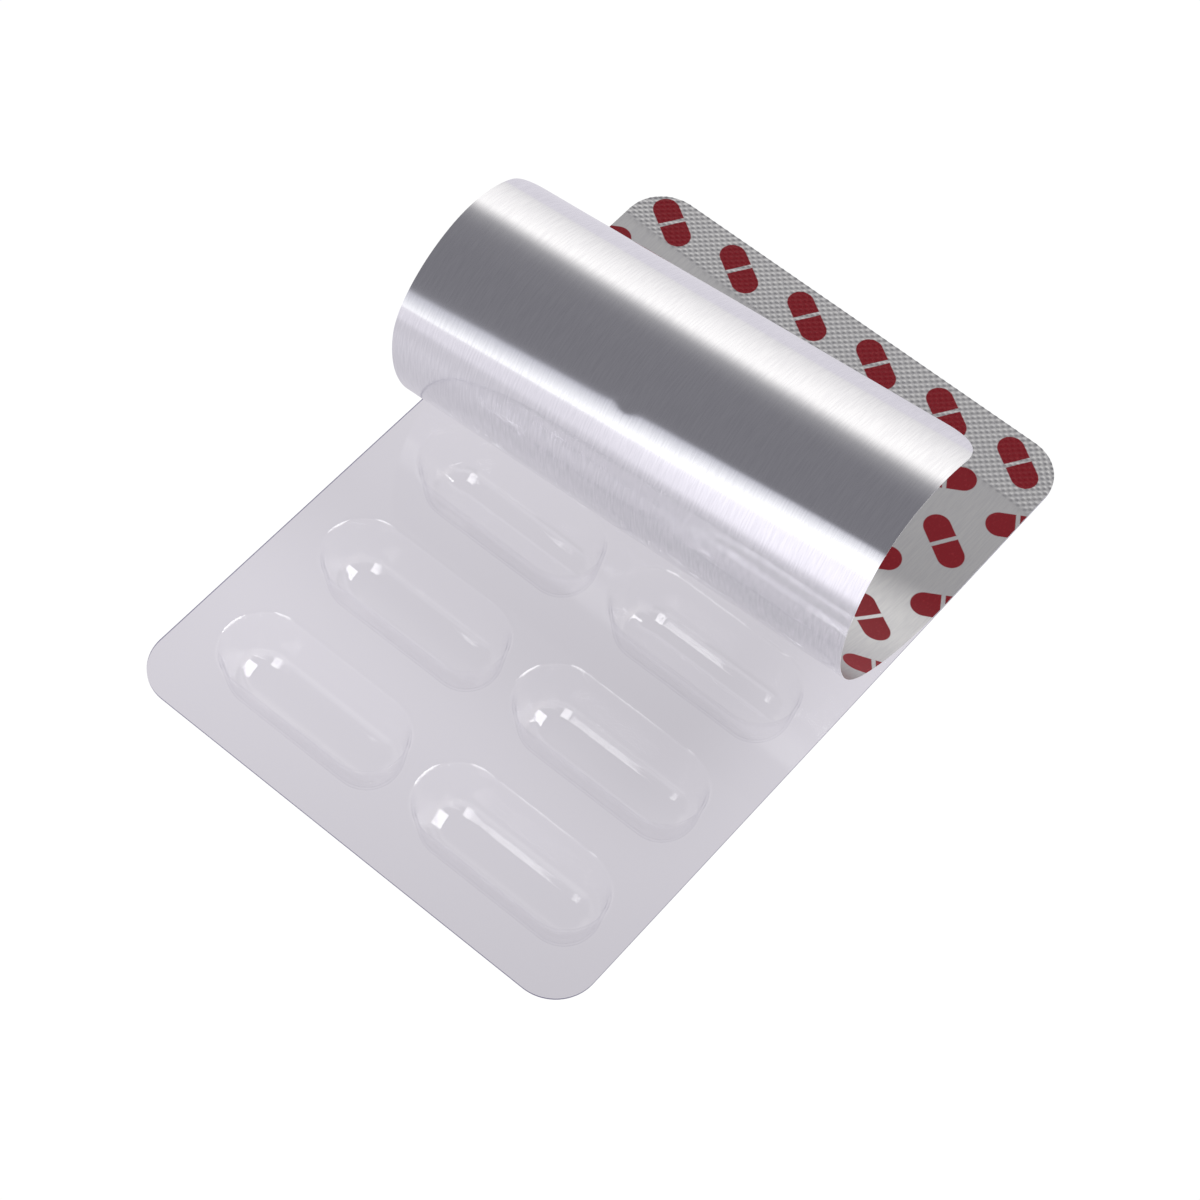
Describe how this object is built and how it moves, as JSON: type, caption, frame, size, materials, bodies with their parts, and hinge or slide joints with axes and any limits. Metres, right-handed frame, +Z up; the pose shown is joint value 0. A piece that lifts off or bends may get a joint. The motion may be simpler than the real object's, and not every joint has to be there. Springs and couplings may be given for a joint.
{
  "type": "pill blister pack",
  "caption": "Clear blister sheet with two rows of round-ended capsule pockets; its lidding foil is peeled back from one end and curls over.",
  "frame": {"origin": "under the middle of the sheet in plan, on the surface that the pockets rest on", "axes": "+X across the sheet, +Y along it towards the sealed end, +Z up through the flat side"},
  "size_m": [0.057, 0.084, 0.0404],
  "materials": {
    "clear_film": "clear, smooth, glossy film",
    "foil": "satin, fine brushed grain"
  },
  "bodies": {
    "root": {"blister_sheet": "clear_film", "lidding_foil": "foil"}
  },
  "joints": []
}
